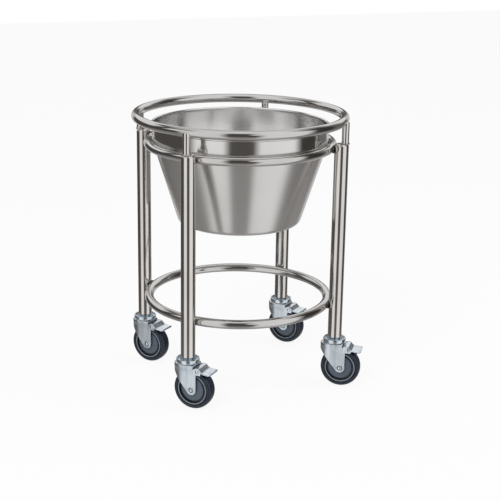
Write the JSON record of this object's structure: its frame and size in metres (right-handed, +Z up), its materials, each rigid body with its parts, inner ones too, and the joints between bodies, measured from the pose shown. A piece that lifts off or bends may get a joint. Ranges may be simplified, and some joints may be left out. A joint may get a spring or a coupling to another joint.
{
  "type": "surgical kick bucket",
  "caption": "Steel kick bucket for theatre waste: a conical pail hanging in a ringed tube stand, with a bumper ring above, a base ring below and swivel casters with brake pedals.",
  "frame": {"origin": "On the floor, under the common centre of the rings and the bucket.", "axes": "+Z is up. The legs stand at the corners of a rectangle that is longer along X, so +X and +Y are its two middle lines; the rear leg of the picture is in the +X +Y quarter."},
  "size_m": [0.384, 0.384, 0.492],
  "materials": {
    "polished_tube": "polished",
    "satin_steel": "satin",
    "zinc": "bright zinc plate",
    "tyre_grey": "matte",
    "hub_grey": "matte",
    "black_plastic": "matte"
  },
  "bodies": {
    "stand": {"leg_tube_1": "polished_tube", "ring_post_1": "polished_tube", "caster_stem_1": "zinc", "swivel_cup_1": "zinc", "ball_ring_1": "zinc", "leg_tube_2": "polished_tube", "ring_post_2": "polished_tube", "caster_stem_2": "zinc", "swivel_cup_2": "zinc", "ball_ring_2": "zinc", "leg_tube_3": "polished_tube", "ring_post_3": "polished_tube", "caster_stem_3": "zinc", "swivel_cup_3": "zinc", "ball_ring_3": "zinc", "leg_tube_4": "polished_tube", "ring_post_4": "polished_tube", "caster_stem_4": "zinc", "swivel_cup_4": "zinc", "ball_ring_4": "zinc", "base_ring": "polished_tube", "support_ring": "polished_tube", "top_ring": "polished_tube"},
    "bucket": {"bucket": "satin_steel"},
    "caster_1_fork": {"fork_1": "zinc", "axle_rivet_1": "zinc", "axle_bush_1": "zinc", "pedal_pin_1": "zinc"},
    "caster_1_wheel": {"wheel_hub_1": "hub_grey", "tyre_1": "tyre_grey"},
    "caster_1_pedal": {"brake_pedal_1": "zinc", "brake_block_1": "black_plastic"},
    "caster_2_fork": {"fork_2": "zinc", "axle_rivet_2": "zinc", "axle_bush_2": "zinc", "pedal_pin_2": "zinc"},
    "caster_2_wheel": {"wheel_hub_2": "hub_grey", "tyre_2": "tyre_grey"},
    "caster_2_pedal": {"brake_pedal_2": "zinc", "brake_block_2": "black_plastic"},
    "caster_3_fork": {"fork_3": "zinc", "axle_rivet_3": "zinc", "axle_bush_3": "zinc", "pedal_pin_3": "zinc"},
    "caster_3_wheel": {"wheel_hub_3": "hub_grey", "tyre_3": "tyre_grey"},
    "caster_3_pedal": {"brake_pedal_3": "zinc", "brake_block_3": "black_plastic"},
    "caster_4_fork": {"fork_4": "zinc", "axle_rivet_4": "zinc", "axle_bush_4": "zinc", "pedal_pin_4": "zinc"},
    "caster_4_wheel": {"wheel_hub_4": "hub_grey", "tyre_4": "tyre_grey"},
    "caster_4_pedal": {"brake_pedal_4": "zinc", "brake_block_4": "black_plastic"}
  },
  "joints": [
    {"name": "caster_1_swivel", "type": "hinge", "parent": "stand", "child": "caster_1_fork", "pos_m": [0.14133, 0.11859, 0.082], "axis": [0, 0, 1], "continuous": true},
    {"name": "caster_1_roll", "type": "hinge", "parent": "caster_1_fork", "child": "caster_1_wheel", "pos_m": [0.14952, 0.10849, 0.036], "axis": [0.7771, 0.6293, 0], "continuous": true},
    {"name": "caster_1_brake", "type": "hinge", "parent": "caster_1_fork", "child": "caster_1_pedal", "pos_m": [0.1577, 0.09839, 0.0726], "axis": [0.7771, 0.6293, 0], "range_deg": [0, 7.7]},
    {"name": "caster_2_swivel", "type": "hinge", "parent": "stand", "child": "caster_2_fork", "pos_m": [-0.14133, 0.11859, 0.082], "axis": [0, 0, 1], "continuous": true},
    {"name": "caster_2_roll", "type": "hinge", "parent": "caster_2_fork", "child": "caster_2_wheel", "pos_m": [-0.13351, 0.10821, 0.036], "axis": [0.7986, 0.6018, 0], "continuous": true},
    {"name": "caster_2_brake", "type": "hinge", "parent": "caster_2_fork", "child": "caster_2_pedal", "pos_m": [-0.12569, 0.09783, 0.0726], "axis": [0.7986, 0.6018, 0], "range_deg": [0, 7.7]},
    {"name": "caster_3_swivel", "type": "hinge", "parent": "stand", "child": "caster_3_fork", "pos_m": [-0.14133, -0.11859, 0.082], "axis": [0, 0, 1], "continuous": true},
    {"name": "caster_3_roll", "type": "hinge", "parent": "caster_3_fork", "child": "caster_3_wheel", "pos_m": [-0.13264, -0.12826, 0.036], "axis": [0.7431, 0.6691, 0], "continuous": true},
    {"name": "caster_3_brake", "type": "hinge", "parent": "caster_3_fork", "child": "caster_3_pedal", "pos_m": [-0.12394, -0.13792, 0.0726], "axis": [0.7431, 0.6691, 0], "range_deg": [0, 7.7]},
    {"name": "caster_4_swivel", "type": "hinge", "parent": "stand", "child": "caster_4_fork", "pos_m": [0.14133, -0.11859, 0.082], "axis": [0, 0, 1], "continuous": true},
    {"name": "caster_4_roll", "type": "hinge", "parent": "caster_4_fork", "child": "caster_4_wheel", "pos_m": [0.15185, -0.12624, 0.036], "axis": [0.5878, 0.809, 0], "continuous": true},
    {"name": "caster_4_brake", "type": "hinge", "parent": "caster_4_fork", "child": "caster_4_pedal", "pos_m": [0.16237, -0.13388, 0.0726], "axis": [0.5878, 0.809, 0], "range_deg": [0, 7.7]},
    {"name": "bucket_lift", "type": "slide", "parent": "stand", "child": "bucket", "axis": [0, 0, 1], "range_m": [0, 0.27]}
  ]
}
